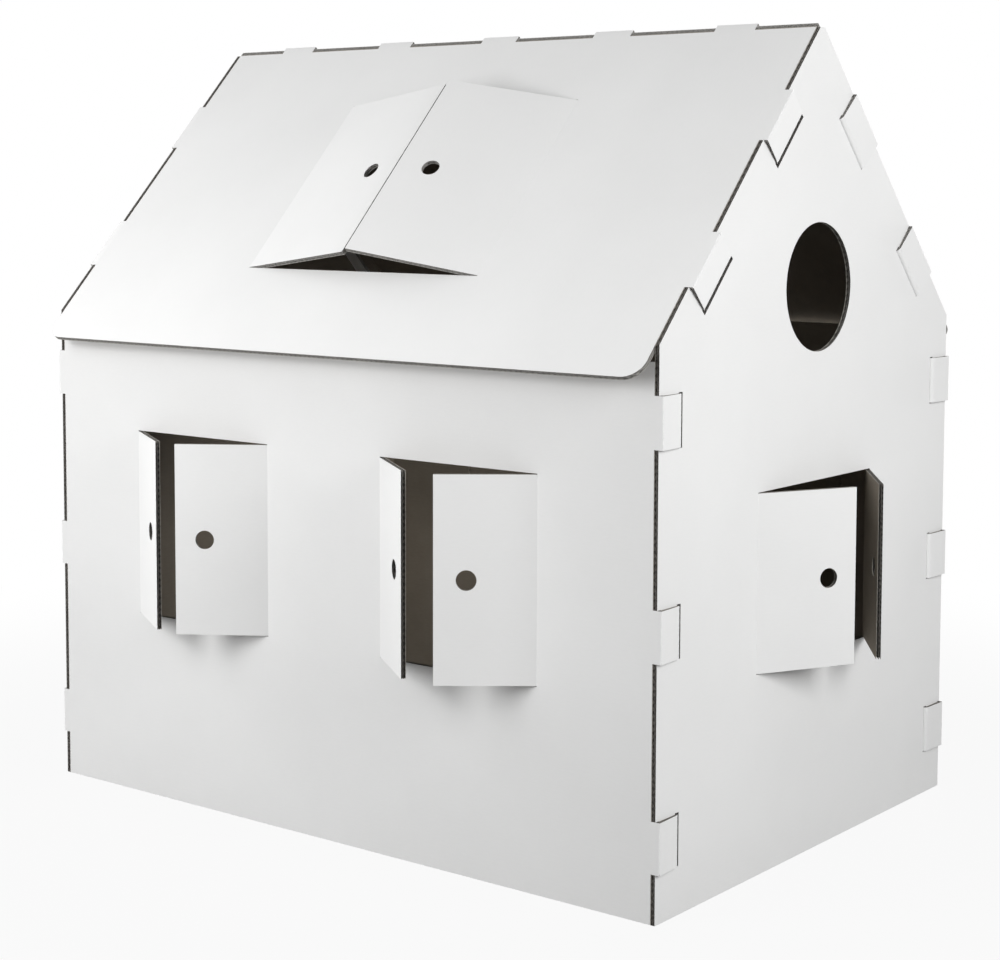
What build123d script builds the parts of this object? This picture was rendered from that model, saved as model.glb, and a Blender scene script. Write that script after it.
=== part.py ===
"""Playhouse of corrugated board: six flat sheets held together by folded tabs, with no other fastening.

Frame, in millimetres: origin at the middle of the footprint on the floor, +X towards the gable with the
window and the round hole, -Y towards the front wall, +Z up.
"""

import os
from collections import namedtuple
from math import atan2, cos, degrees, hypot, radians, sin, tan

from build123d import *

# Overall sizes
house_length = 990.0      # over the outer faces of the two gables
house_width = 700.0       # over the outer faces of the two walls
eave_height = 650.0       # where a gable's upright edge turns into its slope
ridge_height = 1020.0
gable_tip = 10.0          # width of the blunt tip of a gable

# Board and clearances
board = 6.0               # thickness of the double-wall board
fit = 0.3                 # play between two sheets that meet
kerf = 1.0                # width of the cut round a shutter or the door
crease = 2.2              # side of the square whose corner presses the fold line into the inner face
fold_radius = 1.0         # outside of a tab's sharp folds

# Walls
wall_top_gap = 19.0       # wall's top edge below the gables' eave corners
wall_tab_count = 3
wall_tab_height = 60.0
wall_tab_foot = 88.0      # middle of the lowest tab above the floor
wall_tab_head = 67.0      # middle of the highest tab below the wall's top edge

# Roof
eave_overhang = 47.0      # roof below the eave corner, along the slope
eave_corner_radius = 25.0
roof_tab_width = 83.0
roof_tab_eave = 125.5     # middle of the lower tab from the eave corner, along the slope
roof_tab_ridge = 156.0    # middle of the upper tab from the ridge, along the slope
ridge_tab_count = 5
ridge_tab_width = 59.0
ridge_tab_margin = 116.0  # middle of the end tabs from the ends of the roof sheet

# Slots that take the tabs
slot_setback = 39.0       # sheet's raw edge to the near side of a slot
slot_play = 1.5           # gap left beside a tab in its slot
slot_end_play = 1.2       # gap left beyond each end of a tab in its slot
tab_tuck = 28.0           # how far a tab goes in behind its neighbour's outer face

# Front and back windows
window_width = 240.0
window_height = 248.0
window_sill = 246.0       # above the floor
window_left_margin = 154.0   # from the left corner of the house to the left window, seen from outside
window_right_margin = 166.0  # from the right window to the right corner

# Gable window and round hole
gable_window_width = 276.0
gable_window_height = 218.0
gable_window_sill = 245.0
round_hole = 158.0
round_hole_height = 700.5

# Skylight, along the slope of the front roof
skylight_width = 383.0
skylight_height = 299.0
skylight_sill = 89.0      # above the eave corner

# Door in the far gable
door_width = 380.0
door_height = 540.0
door_sill = 40.0

# Finger holes
finger_hole = 24.0
finger_hole_inset = 38.0  # from a shutter's free edge to the middle of its hole
skylight_hole_inset = 48.0

# Opening angles of the shutters, left and right seen from outside
left_window_angles = (32.0, 34.0)
right_window_angles = (37.0, 38.0)
gable_window_angles = (28.0, 35.0)
skylight_angles = (12.0, 12.0)
shut = (0.0, 0.0)

# Sizes that follow from these
half_length = house_length / 2
half_width = house_width / 2
sheet_half = half_length - board - fit
wall_height = eave_height - wall_top_gap
slope = degrees(atan2(ridge_height - eave_height, half_width))
slope_length = hypot(half_width, ridge_height - eave_height)
tip_height = ridge_height - gable_tip / 2 * tan(radians(slope))
ridge_fold = 2 * slope
notch_depth = board + fit
slot_width = board + fit + slot_play
tab_run = slot_setback - notch_depth
tab_root = 2 * notch_depth
board_skew = board * cos(radians(ridge_fold))
front_roof_top = slope_length - (board - board_skew) / sin(radians(ridge_fold)) - fit
ridge_notch_depth = (notch_depth - board_skew) / sin(radians(ridge_fold)) + fit
ridge_pivot = slope_length + notch_depth / tan(radians(ridge_fold))


def spread(first, last, count):
    """Evenly spaced places from the first to the last."""
    return [first + (last - first) * step / (count - 1) for step in range(count)]


wall_tabs = spread(wall_tab_foot, wall_height - wall_tab_head, wall_tab_count)
roof_tabs = [roof_tab_eave, slope_length - roof_tab_ridge]
ridge_tabs = spread(ridge_tab_margin - sheet_half, sheet_half - ridge_tab_margin, ridge_tab_count)

# Outer face of each sheet: local x along the sheet, y up it, z outwards
front = Plane(origin=(0, -half_width, 0), x_dir=(1, 0, 0), z_dir=(0, -1, 0))
back = Plane(origin=(0, half_width, 0), x_dir=(-1, 0, 0), z_dir=(0, 1, 0))
right = Plane(origin=(half_length, 0, 0), x_dir=(0, 1, 0), z_dir=(1, 0, 0))
left = Plane(origin=(-half_length, 0, 0), x_dir=(0, -1, 0), z_dir=(-1, 0, 0))
lean, rise = sin(radians(slope)), cos(radians(slope))
front_slope = Plane(origin=(0, -half_width, eave_height), x_dir=(1, 0, 0), z_dir=(0, -lean, rise))
back_slope = Plane(origin=(0, half_width, eave_height), x_dir=(-1, 0, 0), z_dir=(0, lean, rise))

Opening = namedtuple("Opening", "centre sill width height")
Flap = namedtuple("Flap", "hinge side middle width height angle hole_inset")


def shutters(opening, angles, hole_inset):
    """The two flaps of an opening, each hinged on one side and meeting at its middle."""
    width = (opening.width - kerf) / 2
    height = opening.height - 2 * kerf
    middle = opening.sill + opening.height / 2
    return [
        Flap(opening.centre - side * opening.width / 2, side, middle, width, height, angle, hole_inset)
        for side, angle in zip((1, -1), angles)
    ]


def flap_plane(sheet, flap):
    """Plane across a flap's hinge line: x towards the free edge when shut, y outwards."""
    hinge = sheet.from_local_coords((flap.hinge, flap.middle, 0))
    return Plane(origin=hinge, x_dir=sheet.x_dir * flap.side, z_dir=sheet.y_dir * -flap.side)


def flap_face(sheet, flap):
    """Plane of a flap's outer face: x from the hinge to the free edge."""
    turn = radians(flap.angle)
    hinge = sheet.from_local_coords((flap.hinge, flap.middle, 0))
    swing = sheet.x_dir * (flap.side * cos(turn)) + sheet.z_dir * sin(turn)
    outwards = sheet.z_dir * cos(turn) - sheet.x_dir * (flap.side * sin(turn))
    return Plane(origin=hinge, x_dir=swing, z_dir=outwards)


def flap_section(flap):
    """Section of a flap turned outwards about its hinge line, with the board bent round behind the fold."""
    swing = Vector(1, 0).rotate(Axis.Z, flap.angle)
    through = Vector(0, -board).rotate(Axis.Z, flap.angle)
    with BuildSketch() as section:
        with BuildLine():
            Polyline((0, -board), (0, 0), swing * flap.width, swing * flap.width + through, through)
            if flap.angle:
                CenterArc((0, 0), board, flap.angle - 90, -flap.angle)
        make_face()
    return section.sketch


def tab_section(fold):
    """Section of a tab: out through the notch, folded over the neighbour's face and in through its slot.

    The section's origin is the neighbour's corner, where the first fold turns. The second fold turns by a
    right angle at the near side of the slot. Both are sharp inside and a little rounded outside.
    """
    inner, outer = fit, fit + board
    mitre = tan(radians(fold / 2))
    along = Vector(1, 0).rotate(Axis.Z, -fold)
    outwards = Vector(0, 1).rotate(Axis.Z, -fold)
    slot_edge = along * tab_run
    end = slot_edge - outwards * tab_tuck
    first_fold = Vector(outer * mitre, outer)
    second_fold = slot_edge + (along + outwards) * outer
    with BuildSketch() as section:
        with BuildLine():
            Polyline(
                (-tab_root, outer),
                first_fold,
                second_fold,
                end + along * outer,
                end + along * inner,
                slot_edge + (along + outwards) * inner,
                (inner * mitre, inner),
                (-tab_root, inner),
                close=True,
            )
        make_face()
        for corner in (first_fold, second_fold):
            fillet(section.vertices().sort_by_distance(corner)[0], radius=fold_radius)
    return section.sketch


def end_tab_planes(sheet, places):
    """Planes across the tabs at both ends of a sheet, with their origins on the gables' corners."""
    return [
        Plane(
            origin=sheet.from_local_coords((side * half_length, place, -notch_depth)),
            x_dir=sheet.x_dir * side,
            z_dir=sheet.y_dir * -side,
        )
        for side in (-1, 1)
        for place in places
    ]


def ridge_tab_plane(place):
    """Plane across a ridge tab, with its origin on the corner of the back roof."""
    pivot = front_slope.from_local_coords((place, ridge_pivot, -notch_depth))
    return Plane(origin=pivot, x_dir=front_slope.y_dir, z_dir=front_slope.x_dir)


def wall_outline():
    """A wall between the gables, from the floor to just under the roof."""
    with BuildSketch() as outline:
        with Locations((0, wall_height / 2)):
            Rectangle(2 * sheet_half, wall_height)
    return outline.sketch


def roof_outline(top):
    """A roof sheet between the gables, with its lower corners rounded."""
    with BuildSketch() as outline:
        with Locations((0, (top - eave_overhang) / 2)):
            Rectangle(2 * sheet_half, top + eave_overhang)
        fillet(outline.vertices().group_by(Axis.Y)[0], radius=eave_corner_radius)
    return outline.sketch


def notches_and_slots():
    """Cuts along one upright edge and one slope of a gable, on its -x side."""
    eave = Location((-half_width, eave_height), slope)
    slot_middle = slot_setback + slot_width / 2
    with BuildSketch() as cuts:
        with Locations([(-half_width, place) for place in wall_tabs]):
            Rectangle(2 * notch_depth, wall_tab_height + 2 * fit)
        with Locations([(slot_middle - half_width, place) for place in wall_tabs]):
            Rectangle(slot_width, wall_tab_height + 2 * slot_end_play)
        with Locations([eave * Location((place, 0)) for place in roof_tabs]):
            Rectangle(roof_tab_width + 2 * fit, 2 * notch_depth)
        with Locations([eave * Location((place, -slot_middle)) for place in roof_tabs]):
            Rectangle(roof_tab_width + 2 * slot_end_play, slot_width)
    return cuts.sketch


def gable_outline():
    """A gable: a rectangle under a blunt triangle, notched and slotted alike on both sides."""
    cuts = notches_and_slots()
    with BuildSketch() as outline:
        with BuildLine():
            Polyline(
                (-half_width, 0),
                (half_width, 0),
                (half_width, eave_height),
                (gable_tip / 2, tip_height),
                (-gable_tip / 2, tip_height),
                (-half_width, eave_height),
                close=True,
            )
        make_face()
        add(cuts, mode=Mode.SUBTRACT)
        add(mirror(cuts, about=Plane.YZ, mode=Mode.PRIVATE), mode=Mode.SUBTRACT)
    return outline.sketch


# Openings and the flaps cut from them
left_window_centre = window_left_margin + window_width / 2 - half_length
right_window_centre = half_length - window_right_margin - window_width / 2
left_window = Opening(left_window_centre, window_sill, window_width, window_height)
right_window = Opening(right_window_centre, window_sill, window_width, window_height)
gable_window = Opening(0, gable_window_sill, gable_window_width, gable_window_height)
skylight = Opening(0, skylight_sill, skylight_width, skylight_height)
doorway = Opening(0, door_sill, door_width, door_height)
door = Flap(
    hinge=door_width / 2,
    side=-1,
    middle=door_sill + door_height / 2,
    width=door_width - kerf,
    height=door_height - 2 * kerf,
    angle=0,
    hole_inset=finger_hole_inset,
)


def cut_openings(openings):
    """The rectangles cut out of a sheet, flaps and all."""
    with BuildSketch() as cuts:
        for opening in openings:
            with Locations((opening.centre, opening.sill + opening.height / 2)):
                Rectangle(opening.width, opening.height)
    return cuts.sketch


os.makedirs("parts", exist_ok=True)

# Front and back wall: the same sheet, turned half round. Its shutters are open in front, each with a finger
# hole, and shut behind, where no light shows through such holes.
walls = {
    "front_wall": (front, left_window_angles, right_window_angles),
    "back_wall": (back, shut, shut),
}
for name, (sheet, left_angles, right_angles) in walls.items():
    flaps = shutters(left_window, left_angles, finger_hole_inset)
    flaps += shutters(right_window, right_angles, finger_hole_inset)
    with BuildPart() as wall:
        with BuildSketch(sheet):
            add(wall_outline())
            add(cut_openings([left_window, right_window]), mode=Mode.SUBTRACT)
        extrude(amount=-board)
        for plane in end_tab_planes(sheet, wall_tabs):
            with BuildSketch(plane):
                add(tab_section(90))
            extrude(amount=wall_tab_height / 2, both=True)
        for flap in flaps:
            with BuildSketch(flap_plane(sheet, flap)):
                add(flap_section(flap))
            extrude(amount=flap.height / 2, both=True)
        for flap in [flap for flap in flaps if flap.angle]:
            with BuildSketch(flap_face(sheet, flap)):
                with Locations((flap.width - flap.hole_inset, 0)):
                    Circle(finger_hole / 2)
            extrude(amount=-board - kerf, mode=Mode.SUBTRACT)
        for flap in [flap for flap in flaps if not flap.angle]:
            with BuildSketch(flap_plane(sheet, flap)):
                with Locations((0, -board)):
                    Rectangle(crease, crease, rotation=45)
            extrude(amount=flap.height / 2, both=True, mode=Mode.SUBTRACT)
    wall.part.label = name
    export_step(wall.part, f"parts/{name}.step")

# Right gable: a window with open shutters under a round hole
with BuildPart() as right_gable:
    with BuildSketch(right):
        add(gable_outline())
        add(cut_openings([gable_window]), mode=Mode.SUBTRACT)
        with Locations((0, round_hole_height)):
            Circle(round_hole / 2, mode=Mode.SUBTRACT)
    extrude(amount=-board)
    for flap in shutters(gable_window, gable_window_angles, finger_hole_inset):
        with BuildSketch(flap_plane(right, flap)):
            add(flap_section(flap))
        extrude(amount=flap.height / 2, both=True)
        with BuildSketch(flap_face(right, flap)):
            with Locations((flap.width - flap.hole_inset, 0)):
                Circle(finger_hole / 2)
        extrude(amount=-board - kerf, mode=Mode.SUBTRACT)
right_gable.part.label = "right_gable"
export_step(right_gable.part, "parts/right_gable.step")

# Left gable: a shut door, cut on three sides and creased on the fourth
with BuildPart() as left_gable:
    with BuildSketch(left):
        add(gable_outline())
        add(cut_openings([doorway]), mode=Mode.SUBTRACT)
    extrude(amount=-board)
    with BuildSketch(flap_plane(left, door)):
        add(flap_section(door))
    extrude(amount=door.height / 2, both=True)
    with BuildSketch(flap_face(left, door)):
        with Locations((door.width - door.hole_inset, 0)):
            Circle(finger_hole / 2)
    extrude(amount=-board - kerf, mode=Mode.SUBTRACT)
    with BuildSketch(flap_plane(left, door)):
        with Locations((0, -board)):
            Rectangle(crease, crease, rotation=45)
    extrude(amount=door.height / 2, both=True, mode=Mode.SUBTRACT)
left_gable.part.label = "left_gable"
export_step(left_gable.part, "parts/left_gable.step")

# Front roof: tabs at both ends and along the ridge, and a skylight with its shutters a little raised
with BuildPart() as front_roof:
    with BuildSketch(front_slope):
        add(roof_outline(front_roof_top))
        add(cut_openings([skylight]), mode=Mode.SUBTRACT)
    extrude(amount=-board)
    for plane in end_tab_planes(front_slope, roof_tabs):
        with BuildSketch(plane):
            add(tab_section(90))
        extrude(amount=roof_tab_width / 2, both=True)
    for place in ridge_tabs:
        with BuildSketch(ridge_tab_plane(place)):
            add(tab_section(ridge_fold))
        extrude(amount=ridge_tab_width / 2, both=True)
    for flap in shutters(skylight, skylight_angles, skylight_hole_inset):
        with BuildSketch(flap_plane(front_slope, flap)):
            add(flap_section(flap))
        extrude(amount=flap.height / 2, both=True)
        with BuildSketch(flap_face(front_slope, flap)):
            with Locations((flap.width - flap.hole_inset, 0)):
                Circle(finger_hole / 2)
        extrude(amount=-board - kerf, mode=Mode.SUBTRACT)
front_roof.part.label = "front_roof"
export_step(front_roof.part, "parts/front_roof.step")

# Back roof: tabs at both ends, and notches and slots at the ridge for the front roof's tabs
with BuildPart() as back_roof:
    with BuildSketch(back_slope):
        add(roof_outline(slope_length))
        with Locations([(place, slope_length) for place in ridge_tabs]):
            Rectangle(ridge_tab_width + 2 * fit, 2 * ridge_notch_depth, mode=Mode.SUBTRACT)
        with Locations([(place, slope_length - slot_setback - slot_width / 2) for place in ridge_tabs]):
            Rectangle(ridge_tab_width + 2 * slot_end_play, slot_width, mode=Mode.SUBTRACT)
    extrude(amount=-board)
    for plane in end_tab_planes(back_slope, roof_tabs):
        with BuildSketch(plane):
            add(tab_section(90))
        extrude(amount=roof_tab_width / 2, both=True)
back_roof.part.label = "back_roof"
export_step(back_roof.part, "parts/back_roof.step")
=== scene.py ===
"""Looks of the board playhouse: every sheet is built up from its liners and flutes, in the frame's places.

A sheet lies in a plane of its own: x along it, y up it and z out of its white face. Depth runs from the white
face, at 0, to the brown one. A place on the sheet before it is folded is called its place on the blank.
"""

from collections import namedtuple
from math import atan2, ceil, cos, floor, hypot, pi, radians, sin, tan

import bpy
import numpy as np
from mathutils import Matrix, Vector
from mathutils.geometry import delaunay_2d_cdt


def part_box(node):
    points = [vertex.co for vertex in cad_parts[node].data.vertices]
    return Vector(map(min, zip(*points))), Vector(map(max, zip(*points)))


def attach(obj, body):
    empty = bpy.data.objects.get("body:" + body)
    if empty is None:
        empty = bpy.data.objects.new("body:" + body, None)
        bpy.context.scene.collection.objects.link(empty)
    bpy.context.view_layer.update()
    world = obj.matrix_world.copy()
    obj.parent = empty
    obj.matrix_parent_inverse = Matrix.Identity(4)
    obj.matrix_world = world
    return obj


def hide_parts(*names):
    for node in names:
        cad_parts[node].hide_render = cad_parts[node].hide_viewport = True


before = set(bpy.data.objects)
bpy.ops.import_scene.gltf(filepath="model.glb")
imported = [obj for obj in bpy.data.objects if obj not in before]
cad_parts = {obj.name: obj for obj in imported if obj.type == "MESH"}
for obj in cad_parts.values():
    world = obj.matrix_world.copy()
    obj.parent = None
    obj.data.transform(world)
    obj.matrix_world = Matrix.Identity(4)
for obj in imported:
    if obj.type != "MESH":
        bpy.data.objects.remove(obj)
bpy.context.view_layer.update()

# Sizes of the house, in metres
gable_low, gable_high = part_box("left_gable")
half_length = -gable_low.x
half_width = gable_high.y
board = gable_high.x - gable_low.x
wall_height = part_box("front_wall")[1].z
eave_height = 0.650
ridge_height = 1.020
gable_tip = 0.010         # width of a gable's blunt tip
fit = 0.0003              # gap between sheets that meet
kerf = 0.001              # width of the cuts round flaps
groove_width = 0.0031     # width of a fold line pressed into the brown face

# Tabs and their slots
wall_tab_count = 3
wall_tab_height = 0.060
wall_tab_foot = 0.088
wall_tab_head = 0.067
eave_overhang = 0.047
eave_corner_radius = 0.025
roof_tab_width = 0.083
roof_tab_eave = 0.1255
roof_tab_ridge = 0.156
ridge_tab_count = 5
ridge_tab_width = 0.059
ridge_tab_margin = 0.116
slot_setback = 0.039
slot_play = 0.0015
slot_end_play = 0.0012
tab_tuck = 0.028

# Openings and their shutters
window_width = 0.240
window_height = 0.248
window_sill = 0.246
window_left_margin = 0.154
window_right_margin = 0.166
gable_window_width = 0.276
gable_window_height = 0.218
gable_window_sill = 0.245
round_hole = 0.158
round_hole_height = 0.7005
skylight_width = 0.383
skylight_height = 0.299
skylight_sill = 0.089
door_width = 0.380
door_height = 0.540
door_sill = 0.040
finger_hole = 0.024
finger_hole_inset = 0.038
skylight_hole_inset = 0.048
left_window_angles = (32, 34)
right_window_angles = (37, 38)
gable_window_angles = (28, 35)
skylight_angles = (11, 13)
shut = (0, 0)

# Layers of the board, from the white face inwards
liner = 0.00038           # thickness of each of the three liners
medium = 0.00026          # thickness of the fluted papers
middle_depth = 0.0026     # from the white face to the middle liner
outer_pitch = 0.0064
inner_pitch = 0.0078
flute_steps = 8           # samples to a flute

# Folds of the tabs on the white face: how far the rounding reaches before and after the corner
corner_fold = (0.0012, 0.0030)
slot_fold = (0.0085, 0.0060)
fold_steps = 8
corner_press = 0.88       # thickness left in a tab at its first fold, as a share of the board

# Fineness of the meshes
rim_steps = 48            # points round a finger hole
porthole_steps = 120      # points round the large hole
arc_steps = 10            # points round a corner of the eaves
hair = 1e-6               # gap between two runs of a fluted paper
level_digits = 6          # decimals to which two corners count as level
merge_distance = 1e-9     # corners nearer than this are one in a triangulation
fill_inside = 2           # kind of triangulation that keeps only what lies inside the outlines
crisp_angle = radians(32)

# Sizes that follow from these
sheet_half = half_length - board - fit
notch_depth = board + fit
slot_width = board + fit + slot_play
slope = atan2(ridge_height - eave_height, half_width)
slope_length = hypot(half_width, ridge_height - eave_height)
tip_height = ridge_height - gable_tip / 2 * tan(slope)
ridge_fold = 2 * slope
board_skew = board * cos(ridge_fold)
front_roof_top = slope_length - (board - board_skew) / sin(ridge_fold) - fit
ridge_notch_depth = (notch_depth - board_skew) / sin(ridge_fold) + fit
ridge_pivot = slope_length + notch_depth / tan(ridge_fold)
wall_tabs = np.linspace(wall_tab_foot, wall_height - wall_tab_head, wall_tab_count)
roof_tabs = np.array([roof_tab_eave, slope_length - roof_tab_ridge])
ridge_tabs = np.linspace(ridge_tab_margin - sheet_half, sheet_half - ridge_tab_margin, ridge_tab_count)

# Papers of a sheet, as numbers in its pieces' lists of materials
WHITE, BROWN, CUT = 0, 1, 2
MEDIUM = 0
Finish = namedtuple("Finish", "top bottom sides")
Papers = namedtuple("Papers", "liners flutes")
white_liner = Finish(WHITE, CUT, WHITE)
brown_liner = Finish(CUT, BROWN, CUT)
bare_paper = Finish(MEDIUM, MEDIUM, MEDIUM)

# Waves of the fluted papers
inner_face = middle_depth + liner / 2
Wave = namedtuple("Wave", "middle swing pitch")
outer_wave = Wave(inner_face / 2, (middle_depth - 1.5 * liner - medium) / 2, outer_pitch)
inner_wave = Wave((inner_face + board - liner) / 2, (board - liner - inner_face - medium) / 2, inner_pitch)

Sheet = namedtuple("Sheet", "origin x y z")
Opening = namedtuple("Opening", "centre sill width height")
Flap = namedtuple("Flap", "hinge side bottom top width angle hole_inset")

# A tab: the plane at its neighbour's corner, where its section starts there, the angle of its fold, its
# width, its place along the sheet's edge, where it starts on the blank, whether the flutes run along it,
# and its tail
Tab = namedtuple("Tab", "on start fold width place run lengthwise tail")

# A tab's tail: its height where it goes into the slot and its thickness there, as shares of the board, and
# how far it leans towards the slot's far edge
Tail = namedtuple("Tail", "height thickness lean")
wall_tail = Tail(0.50, 0.70, 0)
roof_tail = Tail(0.40, 0.50, 0)
ridge_tail = Tail(0.55, 0.95, 0)
back_tail = Tail(0.55, 0.95, slot_play)

# Where each sheet lies in the pattern of its papers, so that no two sheets look alike
pattern_places = {
    "front_wall": (0.0, 0.0),
    "back_wall": (1.6, 1.3),
    "right_gable": (3.1, 0.4),
    "left_gable": (4.7, 1.9),
    "front_roof": (6.3, 2.6),
    "back_roof": (8.2, 3.3),
}


# Planes of the sheets

def sheet(origin, x, y):
    """A sheet's plane from a point on its white face and the directions along it and up it."""
    x, y = np.array(x, float), np.array(y, float)
    return Sheet(np.array(origin, float), x, y, np.cross(x, y))


front = sheet((0, -half_width, 0), (1, 0, 0), (0, 0, 1))
back = sheet((0, half_width, 0), (-1, 0, 0), (0, 0, 1))
right = sheet((half_length, 0, 0), (0, 1, 0), (0, 0, 1))
left = sheet((-half_length, 0, 0), (0, -1, 0), (0, 0, 1))
front_slope = sheet((0, -half_width, eave_height), (1, 0, 0), (0, cos(slope), sin(slope)))
back_slope = sheet((0, half_width, eave_height), (-1, 0, 0), (0, -cos(slope), sin(slope)))


def at(on, x, y, depth):
    """Points of the row frame at places x, y and depths of a sheet's plane, as one array."""
    x, y, depth = (value[..., None] for value in np.broadcast_arrays(x, y, depth))
    return on.origin + x * on.x + y * on.y - depth * on.z


# Outlines on the blank

def rectangle(x0, y0, x1, y1):
    """Closed outline of a rectangle."""
    return np.array([(x0, y0), (x1, y0), (x1, y1), (x0, y1)])


def circle(x, y, across, steps):
    """Closed outline of a round hole."""
    turn = np.arange(steps) * 2 * pi / steps
    return np.stack([x + across / 2 * np.cos(turn), y + across / 2 * np.sin(turn)], -1)


def notched(start, end, places, width, depth):
    """An edge from its start up to its end, with square notches on its left at places along it."""
    start, end = np.array(start), np.array(end)
    along = (end - start) / np.linalg.norm(end - start)
    inward = np.array([-along[1], along[0]])
    reach = np.sort(places)[:, None] + width / 2 * np.array([-1, -1, 1, 1])
    cut = depth * np.array([0, 1, 1, 0])
    notches = start + reach[..., None] * along + cut[:, None] * inward
    return np.concatenate([[start], notches.reshape(-1, 2)])


def turned(outline, origin, angle):
    """An outline turned about the zero point and then moved to an origin."""
    x, y = outline.T
    return np.array(origin) + np.stack([x * cos(angle) - y * sin(angle), x * sin(angle) + y * cos(angle)], -1)


def mirrored(outline):
    """An outline mirrored left to right."""
    return (outline * (-1, 1))[::-1]


def eave_outline(top_edge):
    """A roof sheet below its top edge, which runs from right to left: two rounded corners at the eave."""
    radius = eave_corner_radius
    turn = np.linspace(0, pi / 2, arc_steps)
    x = sheet_half - radius + radius * np.sin(turn)
    y = radius - eave_overhang - radius * np.cos(turn)
    right_corner = np.stack([x, y], -1)
    return np.concatenate([mirrored(right_corner), right_corner, top_edge])


def gable_outline():
    """A gable from its foot round to its foot, notched for the tabs of the walls and of the roof."""
    tab_gap, roof_gap = wall_tab_height + 2 * fit, roof_tab_width + 2 * fit
    foot, eave, tip = (half_width, 0), (half_width, eave_height), (gable_tip / 2, tip_height)
    side = np.concatenate([
        notched(foot, eave, wall_tabs, tab_gap, notch_depth),
        notched(eave, tip, roof_tabs, roof_gap, notch_depth),
        [tip],
    ])
    return np.concatenate([side, mirrored(side)])


def gable_slots():
    """The slots of a gable that take the tails of the tabs."""
    wall_slot = wall_tab_height / 2 + slot_end_play
    roof_slot = roof_tab_width / 2 + slot_end_play
    near, far = slot_setback, slot_setback + slot_width
    slots = [rectangle(near - half_width, place - wall_slot, far - half_width, place + wall_slot)
             for place in wall_tabs]
    slots += [turned(rectangle(place - roof_slot, -far, place + roof_slot, -near),
                     (-half_width, eave_height), slope) for place in roof_tabs]
    return slots + [mirrored(slot) for slot in slots]


def shutters(opening, angles, hole_inset):
    """The two flaps of an opening, each hinged on one side and meeting at its middle."""
    bottom, top = opening.sill + kerf, opening.sill + opening.height - kerf
    width = (opening.width - kerf) / 2
    half = opening.width / 2
    return [Flap(opening.centre - side * half, side, bottom, top, width, radians(angle), hole_inset)
            for side, angle in zip((1, -1), angles)]


def finger_rim(flap):
    """Outline of the finger hole near a flap's free edge."""
    middle = flap.hinge + flap.side * (flap.width - flap.hole_inset)
    return circle(middle, (flap.bottom + flap.top) / 2, finger_hole, rim_steps)


def opened(flap):
    """Outlines of a flap's leaf: its rectangle and its finger hole."""
    free = flap.hinge + flap.side * flap.width
    return [rectangle(min(flap.hinge, free), flap.bottom, max(flap.hinge, free), flap.top), finger_rim(flap)]


def window_gap(opening):
    """Outline of the gap that an opening leaves in its sheet when its flaps are folded out."""
    x0, x1 = opening.centre - opening.width / 2, opening.centre + opening.width / 2
    return rectangle(x0, opening.sill, x1, opening.sill + opening.height)


def shutter_cut(opening):
    """Outline of the cut round two shut flaps: along the sill, the head and the middle, a kerf wide."""
    x0, x1 = opening.centre - opening.width / 2, opening.centre + opening.width / 2
    y0, y1 = opening.sill, opening.sill + opening.height
    a, b = opening.centre - kerf / 2, opening.centre + kerf / 2
    return np.array([(x0, y0), (x1, y0), (x1, y0 + kerf), (b, y0 + kerf), (b, y1 - kerf), (x1, y1 - kerf),
                     (x1, y1), (x0, y1), (x0, y1 - kerf), (a, y1 - kerf), (a, y0 + kerf), (x0, y0 + kerf)])


def door_cut(opening):
    """Outline of the cut round the shut door: along its head, its free side and its foot, a kerf wide."""
    x0, x1 = opening.centre - opening.width / 2, opening.centre + opening.width / 2
    y0, y1 = opening.sill, opening.sill + opening.height
    return np.array([(x1, y1), (x0, y1), (x0, y0), (x1, y0), (x1, y0 + kerf), (x0 + kerf, y0 + kerf),
                     (x0 + kerf, y1 - kerf), (x1, y1 - kerf)])


# Surfaces

class Piece:
    """Surfaces gathered into one mesh: corners, places on the blank, faces and the finish of each face."""

    def __init__(self):
        self.corners, self.blank, self.faces, self.finishes, self.count = [], [], [], [], 0

    def add(self, corners, blank, *face_sets):
        """Add corners with their places on the blank, and sets of faces, each as (corner numbers, finish)."""
        self.corners.append(corners.reshape(-1, 3))
        self.blank.append(blank.reshape(-1, 2))
        for faces, finish in face_sets:
            self.faces.append(faces + self.count)
            self.finishes.append(np.full(len(faces), finish))
        self.count += len(self.corners[-1])

    def build(self, name, materials):
        """Put the arrays into a mesh object that sits at the origin."""
        mesh = bpy.data.meshes.new(name)
        sizes = np.concatenate([np.full(len(faces), faces.shape[1]) for faces in self.faces])
        loops = np.concatenate([faces.ravel() for faces in self.faces])
        mesh.vertices.add(self.count)
        mesh.vertices.foreach_set("co", np.concatenate(self.corners).ravel())
        mesh.loops.add(len(loops))
        mesh.loops.foreach_set("vertex_index", loops)
        mesh.polygons.add(len(sizes))
        mesh.polygons.foreach_set("loop_start", np.cumsum(sizes) - sizes)
        mesh.polygons.foreach_set("material_index", np.concatenate(self.finishes))
        mesh.update(calc_edges=True)
        blank = mesh.uv_layers.new(name="blank")
        blank.data.foreach_set("uv", np.concatenate(self.blank)[loops].ravel())
        mesh.shade_smooth()
        mesh.set_sharp_from_angle(angle=crisp_angle)
        for material in materials:
            mesh.materials.append(material)
        piece = bpy.data.objects.new(name, mesh)
        bpy.context.scene.collection.objects.link(piece)
        return piece


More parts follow.
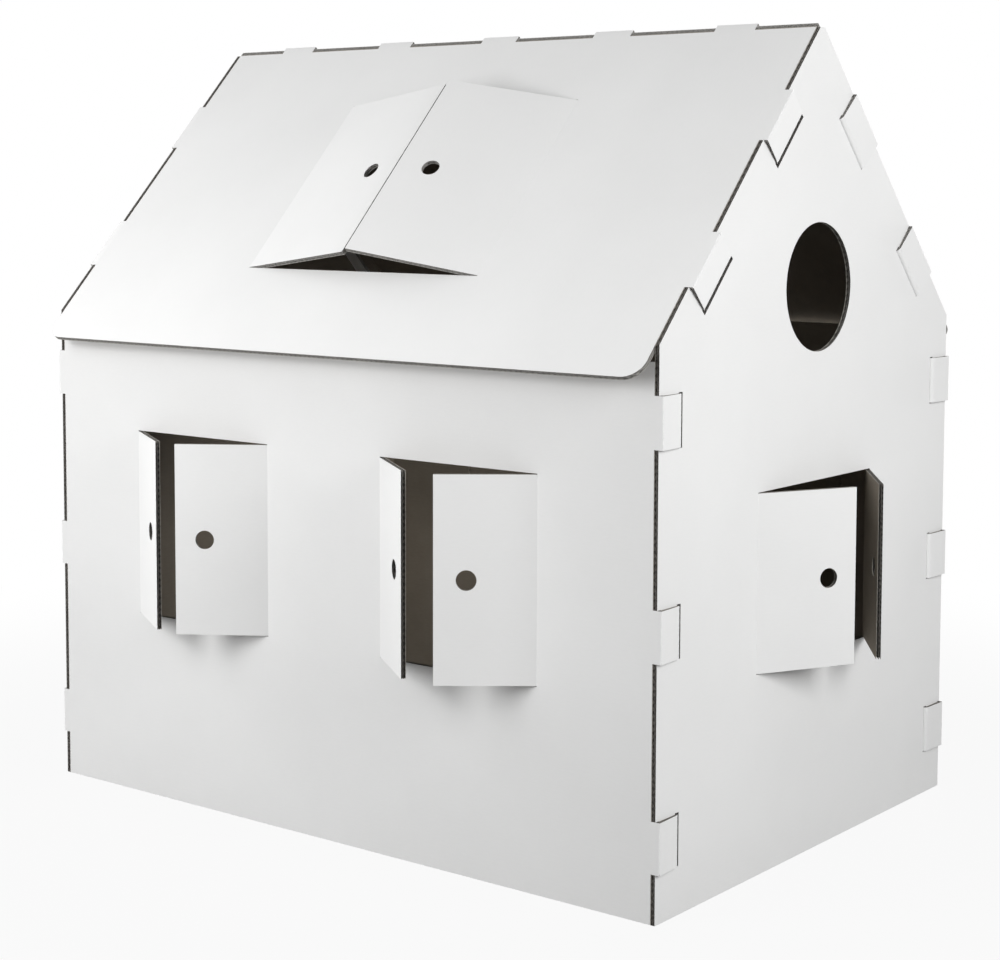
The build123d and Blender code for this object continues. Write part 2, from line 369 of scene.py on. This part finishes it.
def slab_faces(rows, columns, finish, reverse):
    """Faces of a closed slab between two grids of corners, the upper grid numbered first.

    They face outwards where columns, rows and the way up are a right-handed set. Reverse turns them round.
    """
    up = np.arange(rows * columns).reshape(rows, columns)
    low = up + rows * columns

    def quads(*corners):
        """Faces from four arrays of corner numbers."""
        return np.stack([numbers.ravel() for numbers in corners], -1)[:, ::-1 if reverse else 1]

    sides = [
        quads(up[:-1, 0], up[1:, 0], low[1:, 0], low[:-1, 0]),
        quads(up[:-1, -1], low[:-1, -1], low[1:, -1], up[1:, -1]),
        quads(up[0, :-1], low[0, :-1], low[0, 1:], up[0, 1:]),
        quads(up[-1, :-1], up[-1, 1:], low[-1, 1:], low[-1, :-1]),
    ]
    return [
        (quads(up[:-1, :-1], up[:-1, 1:], up[1:, 1:], up[1:, :-1]), finish.top),
        (quads(low[:-1, :-1], low[1:, :-1], low[1:, 1:], low[:-1, 1:]), finish.bottom),
        (np.concatenate(sides), finish.sides),
    ]


def runs_counter_clockwise(outline):
    """Whether a closed outline runs counter-clockwise: the sign of its area."""
    x, y = outline.T
    return np.sum(x * np.roll(y, -1) - np.roll(x, -1) * y) > 0


def filled(outlines):
    """Corners, edges and triangles inside the first outline and outside the others."""
    outlines = [o if runs_counter_clockwise(o) == (k == 0) else o[::-1] for k, o in enumerate(outlines)]
    corners = np.concatenate(outlines)
    ends = np.cumsum([len(o) for o in outlines])
    following = np.concatenate([np.roll(np.arange(end - len(o), end), -1) for end, o in zip(ends, outlines)])
    edges = np.stack([np.arange(len(corners)), following], -1)
    loops = [list(range(end - len(o), end)) for end, o in zip(ends, outlines)]
    _, _, triangles, origins, _, _ = delaunay_2d_cdt([Vector(corner) for corner in corners], [], loops,
                                                     fill_inside, merge_distance)
    source = np.array([numbers[0] for numbers in origins])
    faces = source[np.array(triangles)]
    (ax, ay), (bx, by), (cx, cy) = (corners[faces[:, k]].T for k in range(3))
    clockwise = (bx - ax) * (cy - ay) < (by - ay) * (cx - ax)
    faces[clockwise] = faces[clockwise][:, ::-1]
    return corners, edges, faces


class Board:
    """One sheet of double-wall board: three liners and two fluted papers, cut and folded together."""

    def __init__(self, papers, upright, shift):
        self.skin, self.core = Piece(), Piece()
        self.papers, self.upright, self.shift = papers, upright, np.array(shift)

    def blank(self, flat):
        """Places on the blank as places in the papers' pattern: along the flutes, and across them."""
        return (flat[..., ::-1] if self.upright else flat) + self.shift

    def liners(self):
        """Each liner: the piece it belongs to, the depths of its two faces and its finish."""
        return [
            (self.skin, 0, liner, white_liner),
            (self.core, middle_depth - liner / 2, inner_face, bare_paper),
            (self.skin, board - liner, board, brown_liner),
        ]

    def leaf(self, on, outlines, grooves=()):
        """A flat stretch of the sheet, cut to an outline and its holes; grooves open the brown face only."""
        for piece, shallow, deep, finish in self.liners():
            self.plate(piece, on, outlines + (list(grooves) if deep == board else []), shallow, deep, finish)
        for wave in (outer_wave, inner_wave):
            self.fluted(on, outlines, wave)

    def plate(self, piece, on, outlines, shallow, deep, finish):
        """A flat paper between two depths, closed by a wall along every cut."""
        flat, edges, faces = filled(outlines)
        count = len(flat)
        walls = np.stack([edges[:, 0], edges[:, 0] + count, edges[:, 1] + count, edges[:, 1]], -1)
        corners = np.concatenate([at(on, *flat.T, shallow), at(on, *flat.T, deep)])
        piece.add(corners, np.concatenate([self.blank(flat)] * 2), (faces, finish.top),
                  (faces[:, ::-1] + count, finish.bottom), (walls, finish.sides))

    def fluted(self, on, outlines, wave):
        """A fluted paper: its depth is the wave's middle plus its swing times the cosine of the place across.

        Between two corners of the outlines every line along the flutes meets the same cuts, so there the
        paper is a few runs, each from one cut to the next and drawn straight along the flutes.
        """
        along, across = (1, 0) if self.upright else (0, 1)
        start = np.concatenate(outlines)
        end = np.concatenate([np.roll(outline, -1, axis=0) for outline in outlines])
        levels = np.unique(np.round(start[:, across], level_digits))
        step = wave.pitch / flute_steps
        for low, high in zip(levels[:-1] + hair, levels[1:] - hair):
            inside = np.arange(ceil(low / step), floor(high / step) + 1) * step
            rows = np.unique(np.concatenate([[low], inside, [high]]))[:, None]
            cut = (start[:, across] <= rows) != (end[:, across] <= rows)
            rise = np.where(cut, end[:, across] - start[:, across], 1)
            share = (rows - start[:, across]) / rise
            cuts = np.where(cut, start[:, along] + share * (end[:, along] - start[:, along]), np.inf)
            cuts = np.sort(cuts, axis=1)
            depth = wave.middle + wave.swing * np.cos(2 * pi * rows / wave.pitch)
            for first in range(0, int(cut[0].sum()), 2):
                ends = cuts[:, first:first + 2]
                flat = np.stack([ends, np.broadcast_to(rows, ends.shape)], -1)
                flat = flat[..., ::-1] if self.upright else flat
                faces = [at(on, flat[..., 0], flat[..., 1], depth + side * medium / 2) for side in (-1, 1)]
                self.core.add(np.stack(faces), np.stack([self.blank(flat)] * 2),
                              *slab_faces(len(rows), 2, bare_paper, self.upright))

    def flap(self, on, flap):
        """A flap folded out about its hinge line on the white face, with the liners bent round behind it."""
        x = on.x * cos(flap.angle) + on.z * flap.side * sin(flap.angle)
        hinge = at(on, flap.hinge, 0, 0)
        swung = sheet(hinge - x * flap.hinge, x, on.y)
        self.leaf(swung, opened(flap))
        turn = np.linspace(0, flap.angle, fold_steps)[:, None, None]
        inward = on.x * flap.side * np.sin(turn) - on.z * np.cos(turn)
        up = np.array([flap.bottom, flap.top])[None, :, None]
        flat = np.stack(np.broadcast_arrays(flap.hinge, up[..., 0]), -1).repeat(fold_steps, 0)
        for piece, shallow, deep, finish in self.liners():
            faces = [hinge + on.y * up + inward * depth for depth in (shallow, deep)]
            piece.add(np.stack(faces), np.stack([self.blank(flat)] * 2),
                      *slab_faces(fold_steps, 2, finish, flap.side > 0))

    def groove(self, on, hinge, bottom, top):
        """A fold line pressed into the brown face: a liner with a V-shaped section, drawn along the hinge."""
        x = hinge + groove_width / 2 * np.array([-1, 0, 1])
        sunk = groove_width / 2 * np.array([0, 1, 0])
        x, y = np.meshgrid(x, [bottom, top])
        faces = [at(on, x, y, depth - sunk) for depth in (board - liner, board)]
        self.skin.add(np.stack(faces), np.stack([self.blank(np.stack([x, y], -1))] * 2),
                      *slab_faces(2, 3, brown_liner, False))

    def tab(self, tab):
        """A tab: every paper of the sheet carried along the folded section, at its own depth.

        The section at any depth is a mix of the one on the white face and the one on the brown face.
        """
        outer, inner = tab_section(tab, 0), tab_section(tab, board)
        length = np.concatenate([[0], np.cumsum(np.linalg.norm(np.diff(outer, axis=0), axis=1))])
        fine = np.unique(np.concatenate([length, np.arange(0, length[-1], outer_pitch / flute_steps)]))
        reverse = np.dot(np.cross(tab.on.y, tab.on.x), tab.on.z) < 0

        def carried(piece, lengths, spread, depths, finish):
            """A slab between two depths, on a grid of lengths along the section and places across the tab."""
            lengths, spread = lengths[:, None], spread[None, :]
            white = np.stack([np.interp(lengths, length, outer[:, k]) for k in (0, 1)])
            brown = np.stack([np.interp(lengths, length, inner[:, k]) for k in (0, 1)])
            faces = []
            for depth in depths:
                run, out = white + (brown - white) * depth / board
                faces.append(at(tab.on, run, spread, -out))
            run, across = np.broadcast_arrays(tab.run + lengths, tab.place + spread)
            flat = np.stack([run, across] if tab.lengthwise else [across, run], -1) + self.shift
            piece.add(np.stack(faces), np.stack([flat] * 2),
                      *slab_faces(*run.shape, finish, reverse))

        edges = tab.width / 2 * np.array([-1, 1])
        for piece, shallow, deep, finish in self.liners():
            carried(piece, length, edges, (shallow, deep), finish)
        for wave in (outer_wave, inner_wave):
            across = np.linspace(*edges, ceil(tab.width / wave.pitch * flute_steps))
            lengths, spread = (length, across) if tab.lengthwise else (fine, edges)
            place = (tab.place + spread)[None, :] if tab.lengthwise else (tab.run + lengths)[:, None]
            depth = wave.middle + wave.swing * np.cos(2 * pi * place / wave.pitch)
            carried(self.core, lengths, spread, (depth - medium / 2, depth + medium / 2), bare_paper)

    def build(self, name):
        """The sheet's two pieces, which stand for its solid in the frame."""
        for piece in (self.skin.build(name + "_liners", self.papers.liners),
                      self.core.build(name + "_flutes", self.papers.flutes)):
            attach(piece, "root")
            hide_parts(name)


def bend(corner, way_in, way_out, before, after):
    """A rounded corner as points: a parabola that touches both straights, before and after the corner."""
    t = np.linspace(0, 1, fold_steps + 1)[:, None]
    return corner - way_in * before * (1 - t) ** 2 + way_out * after * t ** 2


def tab_section(tab, depth):
    """Section of a tab at one depth: straight out, over the neighbour's face and in through its slot.

    The section's zero point is the neighbour's corner. Both folds are sharp on the brown face and widen
    towards the white one, as in board that is creased on its inside, and the tab is pressed flatter towards
    the slot. Its tail stands at the slot's near edge, or leans from there towards the far one.
    """
    height = board - depth
    share = height / board
    offset, pressed, tucked = fit + height, fit + height * corner_press, fit + height * tab.tail.height
    reach = fit + height * tab.tail.thickness + tab.tail.lean
    out, up = np.array([1.0, 0.0]), np.array([0.0, 1.0])
    along = np.array([cos(tab.fold), -sin(tab.fold)])
    outwards = np.array([sin(tab.fold), cos(tab.fold)])
    slot_edge = along * (slot_setback - notch_depth)
    corner = out * (pressed - offset * cos(tab.fold)) / sin(tab.fold) + up * offset
    slot_corner = slot_edge + along * reach + outwards * tucked
    over = (slot_corner - corner) / np.linalg.norm(slot_corner - corner)
    tail = slot_edge - outwards * tab_tuck + along * reach
    return np.concatenate([
        [out * tab.start + up * offset],
        bend(corner, out, over, *(length * share for length in corner_fold)),
        bend(slot_corner, over, -outwards, *(length * share for length in slot_fold)),
        [tail],
    ])


def end_tabs(on, places, width, lengthwise, tail):
    """The tabs at both ends of a sheet that hook round the gables' edges."""
    return [Tab(Sheet(at(on, side * half_length, place, notch_depth), on.x * side, on.y, on.z), -notch_depth,
                pi / 2, width, place, sheet_half, lengthwise, tail)
            for side in (-1, 1) for place in places]


# Materials

fibre_stretch = 0.22        # scale of the fibres along the flutes, as a share of their scale across
fibre_share = 0.45          # weight of the fibres beside the clouds in a paper's tone
tone_range = (0.45, 1.0)    # range of that tone that runs from the dark colour to the pale one
fibre_range = (0.3, 0.7)    # range of the fibres that runs from the glossiest to the roughest spot
roughness_drift = 0.06


def nodes_of(tree):
    """A shorthand that adds a node to a tree, sets its values and links its inputs."""
    def add(kind, links=(), **values):
        """The new node: links holds values and sockets for its inputs, and values its own settings."""
        node = tree.nodes.new(kind)
        for name, value in values.items():
            setattr(node, name, value)
        for socket, source in dict(links).items():
            if isinstance(source, bpy.types.NodeSocket):
                tree.links.new(source, node.inputs[socket])
            else:
                node.inputs[socket].default_value = source
        return node
    return add


def paper_group():
    """Shared look of the papers: clouds, fibres drawn along the flutes and the flutes showing through."""
    group = bpy.data.node_groups.new("board_paper", "ShaderNodeTree")
    for name, kind in (("Blank", "NodeSocketVector"), ("Cloud scale", "NodeSocketFloat"),
                       ("Fibre scale", "NodeSocketFloat"), ("Flute pitch", "NodeSocketFloat")):
        group.interface.new_socket(name, in_out="INPUT", socket_type=kind)
    for name in ("Cloud", "Fibre", "Ribs"):
        group.interface.new_socket(name, in_out="OUTPUT", socket_type="NodeSocketFloat")
    add = nodes_of(group)
    given = add("NodeGroupInput").outputs
    cloud = add("ShaderNodeTexNoise", {"Vector": given["Blank"], "Scale": given["Cloud scale"],
                                       "Detail": 4.0, "Roughness": 0.55})
    drawn = add("ShaderNodeVectorMath", {0: given["Blank"], 1: (fibre_stretch, 1.0, 1.0)},
                operation="MULTIPLY")
    fibre = add("ShaderNodeTexNoise", {"Vector": drawn.outputs[0], "Scale": given["Fibre scale"],
                                       "Detail": 3.0, "Roughness": 0.65})
    across = add("ShaderNodeSeparateXYZ", {0: given["Blank"]}).outputs["Y"]
    turns = add("ShaderNodeMath", {0: across, 1: given["Flute pitch"]}, operation="DIVIDE")
    phase = add("ShaderNodeMath", {0: turns.outputs[0], 1: 2 * pi}, operation="MULTIPLY")
    ribs = add("ShaderNodeMath", {0: phase.outputs[0]}, operation="COSINE")
    add("NodeGroupOutput", {"Cloud": cloud.outputs["Fac"], "Fibre": fibre.outputs["Fac"],
                            "Ribs": ribs.outputs[0]})
    return group


def paper(name, pale, dark, roughness, cloud_scale, fibre_scale, fibre_relief, pitch=inner_pitch,
          rib_relief=0.0):
    """A paper: its colour drifts between two tones, and fibres and the flutes below raise its surface."""
    material = bpy.data.materials.new(name)
    material.use_nodes = True
    tree = material.node_tree
    tree.nodes.clear()
    add = nodes_of(tree)
    blank = add("ShaderNodeUVMap", uv_map="blank").outputs[0]
    group = add("ShaderNodeGroup", node_tree=shared_paper)
    tree.links.new(blank, group.inputs["Blank"])
    for socket, value in (("Cloud scale", cloud_scale), ("Fibre scale", fibre_scale), ("Flute pitch", pitch)):
        group.inputs[socket].default_value = value
    tone = add("ShaderNodeMath", {0: group.outputs["Fibre"], 1: fibre_share, 2: group.outputs["Cloud"]},
               operation="MULTIPLY_ADD")
    spread = add("ShaderNodeMapRange", {"Value": tone.outputs[0], "From Min": tone_range[0],
                                        "From Max": tone_range[1]})
    colour = add("ShaderNodeMix", {"Factor": spread.outputs[0], "A": (*dark, 1), "B": (*pale, 1)},
                 data_type="RGBA")
    ribs = add("ShaderNodeMath", {0: group.outputs["Ribs"], 1: rib_relief}, operation="MULTIPLY")
    relief = add("ShaderNodeMath", {0: group.outputs["Fibre"], 1: fibre_relief, 2: ribs.outputs[0]},
                 operation="MULTIPLY_ADD")
    bump = add("ShaderNodeBump", {"Height": relief.outputs[0], "Strength": 1.0, "Distance": 1.0})
    gloss = add("ShaderNodeMapRange", {"Value": group.outputs["Fibre"], "From Min": fibre_range[0],
                                       "From Max": fibre_range[1], "To Min": roughness - roughness_drift,
                                       "To Max": roughness + roughness_drift})
    shader = add("ShaderNodeBsdfPrincipled", {
        "Base Color": colour.outputs["Result"], "Roughness": gloss.outputs[0],
        "Specular IOR Level": 0.28, "Normal": bump.outputs[0],
    })
    add("ShaderNodeOutputMaterial", {"Surface": shader.outputs[0]})
    return material


shared_paper = paper_group()
white_paper = paper("white_liner", pale=(0.83, 0.83, 0.825), dark=(0.79, 0.79, 0.785), roughness=0.62,
                    cloud_scale=5.0, fibre_scale=520.0, fibre_relief=0.000035, pitch=outer_pitch,
                    rib_relief=0.000006)
brown_paper = paper("brown_liner", pale=(0.33, 0.288, 0.235), dark=(0.24, 0.208, 0.168), roughness=0.80,
                    cloud_scale=7.0, fibre_scale=420.0, fibre_relief=0.00008, rib_relief=0.00003)
cut_look = {"roughness": 0.85, "cloud_scale": 60.0, "fibre_scale": 900.0, "fibre_relief": 0.0001}
flute_look = {"roughness": 0.85, "cloud_scale": 40.0, "fibre_scale": 700.0, "fibre_relief": 0.0001}
cut_paper = paper("cut_edge", pale=(0.48, 0.455, 0.415), dark=(0.36, 0.34, 0.305), **cut_look)
flute_paper = paper("fluted_medium", pale=(0.22, 0.207, 0.19), dark=(0.145, 0.136, 0.123), **flute_look)
# Lighter copies of the cut edge and the fluted paper, for the roof sheets only: painted light, standing in
# for the light that falls on the roof's cut edges
roof_cut_paper_painted_light = paper("roof_cut_edge_painted_light", pale=(0.52, 0.505, 0.48), dark=(0.42, 0.408, 0.385), **cut_look)
roof_flute_paper_painted_light = paper("roof_fluted_medium_painted_light", pale=(0.38, 0.368, 0.35), dark=(0.29, 0.28, 0.262),
                         **flute_look)
wall_papers = Papers([white_paper, brown_paper, cut_paper], [flute_paper])
# The roof sheets take the copies with painted light on their cut edges and flutes
roof_papers_with_painted_light = Papers([white_paper, brown_paper, roof_cut_paper_painted_light], [roof_flute_paper_painted_light])


# The six sheets

def wall(name, on, left_angles, right_angles, tail):
    """A wall: two windows, whose shutters are folded out or shut, and three tabs at each end."""
    made = Board(wall_papers, False, pattern_places[name])
    left_centre = window_left_margin + window_width / 2 - half_length
    right_centre = half_length - window_right_margin - window_width / 2
    outlines, grooves = [rectangle(-sheet_half, 0, sheet_half, wall_height)], []
    for centre, angles in ((left_centre, left_angles), (right_centre, right_angles)):
        opening = Opening(centre, window_sill, window_width, window_height)
        flaps = shutters(opening, angles, finger_hole_inset)
        if any(angles):
            outlines.append(window_gap(opening))
            for flap in flaps:
                made.flap(on, flap)
        else:
            outlines.append(shutter_cut(opening))
            grooves += [fold_line(made, on, flap) for flap in flaps]
    made.leaf(on, outlines, grooves)
    for tab in end_tabs(on, wall_tabs, wall_tab_height, True, tail):
        made.tab(tab)
    made.build(name)


def fold_line(made, on, flap):
    """Press a shut flap's fold line into the brown face, and give the gap that it needs in the liner."""
    bottom, top = flap.bottom + kerf, flap.top - kerf
    made.groove(on, flap.hinge, bottom, top)
    return rectangle(flap.hinge - groove_width / 2, bottom, flap.hinge + groove_width / 2, top)


def right_gable():
    """The gable with a round hole over a window whose shutters are folded out."""
    made = Board(wall_papers, False, pattern_places["right_gable"])
    opening = Opening(0, gable_window_sill, gable_window_width, gable_window_height)
    porthole = circle(0, round_hole_height, round_hole, porthole_steps)
    made.leaf(right, [gable_outline(), window_gap(opening), porthole] + gable_slots())
    for flap in shutters(opening, gable_window_angles, finger_hole_inset):
        made.flap(right, flap)
    made.build("right_gable")


def left_gable():
    """The gable with a door, cut on three sides and shut."""
    made = Board(wall_papers, False, pattern_places["left_gable"])
    opening = Opening(0, door_sill, door_width, door_height)
    door = Flap(door_width / 2, -1, door_sill + kerf, door_sill + door_height - kerf, door_width - kerf, 0,
                finger_hole_inset)
    groove_gap = fold_line(made, left, door)
    made.leaf(left, [gable_outline(), door_cut(opening), finger_rim(door)] + gable_slots(), [groove_gap])
    made.build("left_gable")


def front_roof():
    """The roof sheet with a skylight, hooked over the gables and, along the ridge, over the other sheet."""
    made = Board(roof_papers_with_painted_light, True, pattern_places["front_roof"])
    opening = Opening(0, skylight_sill, skylight_width, skylight_height)
    top_edge = np.array([(sheet_half, front_roof_top), (-sheet_half, front_roof_top)])
    made.leaf(front_slope, [eave_outline(top_edge), window_gap(opening)])
    for flap in shutters(opening, skylight_angles, skylight_hole_inset):
        made.flap(front_slope, flap)
    for tab in end_tabs(front_slope, roof_tabs, roof_tab_width, False, roof_tail):
        made.tab(tab)
    for place in ridge_tabs:
        corner = at(front_slope, place, ridge_pivot, notch_depth)
        made.tab(Tab(Sheet(corner, front_slope.y, front_slope.x, front_slope.z), front_roof_top - ridge_pivot,
                     ridge_fold, ridge_tab_width, place, front_roof_top, True, ridge_tail))
    made.build("front_roof")


def back_roof():
    """The plain roof sheet, notched and slotted along the ridge."""
    made = Board(roof_papers_with_painted_light, True, pattern_places["back_roof"])
    top_edge = notched((sheet_half, slope_length), (-sheet_half, slope_length), sheet_half - ridge_tabs,
                       ridge_tab_width + 2 * fit, ridge_notch_depth)
    half_slot = ridge_tab_width / 2 + slot_end_play
    slots = [rectangle(place - half_slot, slope_length - slot_setback - slot_width, place + half_slot,
                       slope_length - slot_setback) for place in ridge_tabs]
    left_end = np.array([(-sheet_half, slope_length)])
    made.leaf(back_slope, [eave_outline(np.concatenate([top_edge, left_end]))] + slots)
    for tab in end_tabs(back_slope, roof_tabs, roof_tab_width, False, back_tail):
        made.tab(tab)
    made.build("back_roof")


wall("front_wall", front, left_window_angles, right_window_angles, wall_tail)
wall("back_wall", back, shut, shut, back_tail)
right_gable()
left_gable()
front_roof()
back_roof()


# Studio

floor_tone = 0.33           # grey of the floor as the lamps light it
floor_glow = 0.92           # share of plain white in the floor by the house, as the camera sees it
shadow_reach = (0.7, 1.7)   # distances from the house's middle between which the floor turns white
floor_reach = 14.0          # half the side of the floor
air_light = 0.18            # strength of the even light from all round
air_colour = (0.98, 0.99, 1.0, 1)
plain_white = (1, 1, 1, 1)

# The photo's camera, in metres and degrees
sensor_width = 36.0         # in millimetres
frame_pixels = 1000         # width of the photo
focal_pixels = 2078.8       # its focal length, in the same pixels
frame_shift = -0.13         # how far the frame is moved up, as a share of its width
view_reach = 60.0           # how far the camera sees
camera_place = (1.74739, -2.23826, 0.82292)
camera_yaw, camera_pitch, camera_roll = 37.9604, -4.5254, 0.1454

# What the lamps are aimed at
house_middle = (0.0, 0.0, 0.5)
wall_middle = (-0.1, -0.35, 0.5)
gable_middle = (0.5, 0.0, 0.5)
room_corner = (-0.5, 0.2, 0.15)


def softbox(name, size, place, aim, power, spread=pi):
    """A square soft light that looks from its place at its aim."""
    light = bpy.data.lights.new(name, "AREA")
    light.shape, light.size, light.energy, light.spread = "SQUARE", size, power, spread
    lamp = bpy.data.objects.new(name, light)
    lamp.location = place
    lamp.rotation_euler = (Vector(aim) - Vector(place)).to_track_quat("-Z", "Y").to_euler()
    lamp.visible_camera = False
    bpy.context.scene.collection.objects.link(lamp)


def studio_floor():
    """A wide pale floor that keeps the house's shadow and turns plain white to the camera further away.

    Under the house, where the larger of |x| / half length and |y| / half width is below 1, it stays grey.
    """
    material = bpy.data.materials.new("studio_floor")
    material.use_nodes = True
    tree = material.node_tree
    tree.nodes.clear()
    add = nodes_of(tree)
    path = add("ShaderNodeLightPath").outputs
    seen = add("ShaderNodeMath", {0: path["Is Camera Ray"], 1: path["Is Glossy Ray"]}, operation="MAXIMUM")
    place = add("ShaderNodeTexCoord").outputs["Object"]
    away = add("ShaderNodeVectorMath", {0: place}, operation="LENGTH").outputs["Value"]
    white = add("ShaderNodeMapRange", {"Value": away, "From Min": shadow_reach[0],
                                       "From Max": shadow_reach[1], "To Min": floor_glow, "To Max": 1.0},
                interpolation_type="SMOOTHSTEP")
    scaled = add("ShaderNodeVectorMath", {0: place, 1: (1 / half_length, 1 / half_width, 0)},
                 operation="MULTIPLY")
    size = add("ShaderNodeVectorMath", {0: scaled.outputs[0]}, operation="ABSOLUTE")
    sides = add("ShaderNodeSeparateXYZ", {0: size.outputs[0]}).outputs
    rim = add("ShaderNodeMath", {0: sides["X"], 1: sides["Y"]}, operation="MAXIMUM")
    outside = add("ShaderNodeMath", {0: rim.outputs[0], 1: 1.0}, operation="GREATER_THAN")
    open_floor = add("ShaderNodeMath", {0: white.outputs[0], 1: outside.outputs[0]}, operation="MULTIPLY")
    share = add("ShaderNodeMath", {0: seen.outputs[0], 1: open_floor.outputs[0]}, operation="MULTIPLY")
    matt = add("ShaderNodeBsdfDiffuse", {"Color": (floor_tone, floor_tone, floor_tone, 1)})
    glow = add("ShaderNodeEmission", {"Color": plain_white, "Strength": 1.0})
    mixed = add("ShaderNodeMixShader", {0: share.outputs[0], 1: matt.outputs[0], 2: glow.outputs[0]})
    add("ShaderNodeOutputMaterial", {"Surface": mixed.outputs[0]})
    mesh = bpy.data.meshes.new("studio_floor")
    outline = rectangle(-floor_reach, -floor_reach, floor_reach, floor_reach)
    mesh.from_pydata([(x, y, 0.0) for x, y in outline], [], [(0, 1, 2, 3)])
    mesh.materials.append(material)
    ground = bpy.data.objects.new("studio_floor", mesh)
    bpy.context.scene.collection.objects.link(ground)


def studio_air():
    """World: even soft light, and plain white where the camera or a reflection looks past the floor."""
    world = bpy.data.worlds.new("studio_air")
    world.use_nodes = True
    tree = world.node_tree
    tree.nodes.clear()
    add = nodes_of(tree)
    path = add("ShaderNodeLightPath").outputs
    seen = add("ShaderNodeMath", {0: path["Is Camera Ray"], 1: path["Is Glossy Ray"]}, operation="MAXIMUM")
    soft = add("ShaderNodeBackground", {"Color": air_colour, "Strength": air_light})
    white = add("ShaderNodeBackground", {"Color": plain_white, "Strength": 1.0})
    mixed = add("ShaderNodeMixShader", {0: seen.outputs[0], 1: soft.outputs[0], 2: white.outputs[0]})
    add("ShaderNodeOutputWorld", {"Surface": mixed.outputs[0]})
    bpy.context.scene.world = world


def camera():
    """The photograph's viewpoint: a long lens held nearly level, with the frame moved down a little."""
    data = bpy.data.cameras.new("camera")
    data.sensor_width = sensor_width
    data.lens = focal_pixels / frame_pixels * sensor_width
    data.shift_y = frame_shift
    data.clip_end = view_reach
    yaw, pitch, roll = (radians(angle) for angle in (camera_yaw, camera_pitch, camera_roll))
    ahead = Vector((-sin(yaw) * cos(pitch), cos(yaw) * cos(pitch), sin(pitch)))
    side = Vector((cos(yaw), sin(yaw), 0))
    top = side.cross(ahead)
    side, top = side * cos(roll) + top * sin(roll), top * cos(roll) - side * sin(roll)
    eye = bpy.data.objects.new("camera", data)
    turn = Matrix((side, top, -ahead)).transposed()
    eye.matrix_world = Matrix.Translation(camera_place) @ turn.to_4x4()
    bpy.context.scene.collection.objects.link(eye)
    bpy.context.scene.camera = eye


studio_floor()
studio_air()

# The first five lamps light what the photo shows, two light the far sides and the last one is in the room
softbox("left_light", size=1.4, place=(-3.5, -0.5, 2.2), aim=house_middle, power=44)
softbox("front_light", size=1.0, place=(-0.6, -1.9, 0.9), aim=wall_middle, power=18.5)
softbox("upper_front_light", size=1.0, place=(-0.6, -1.9, 1.6), aim=wall_middle, power=8.5)
softbox("side_light", size=1.0, place=(2.2, -0.6, 1.3), aim=gable_middle, power=27)
softbox("low_side_light", size=1.0, place=(2.2, 0.2, 1.0), aim=gable_middle, power=6.5)
softbox("back_light", size=0.9, place=(0.3, 2.9, 0.6), aim=house_middle, power=38)
softbox("left_gable_light", size=1.2, place=(-2.8, 0.5, 1.1), aim=house_middle, power=18)
softbox("room_light", size=0.25, place=(0.3, -0.2, 0.35), aim=room_corner, power=0.43, spread=radians(70))
camera()
bpy.context.scene.view_settings.view_transform = "Standard"
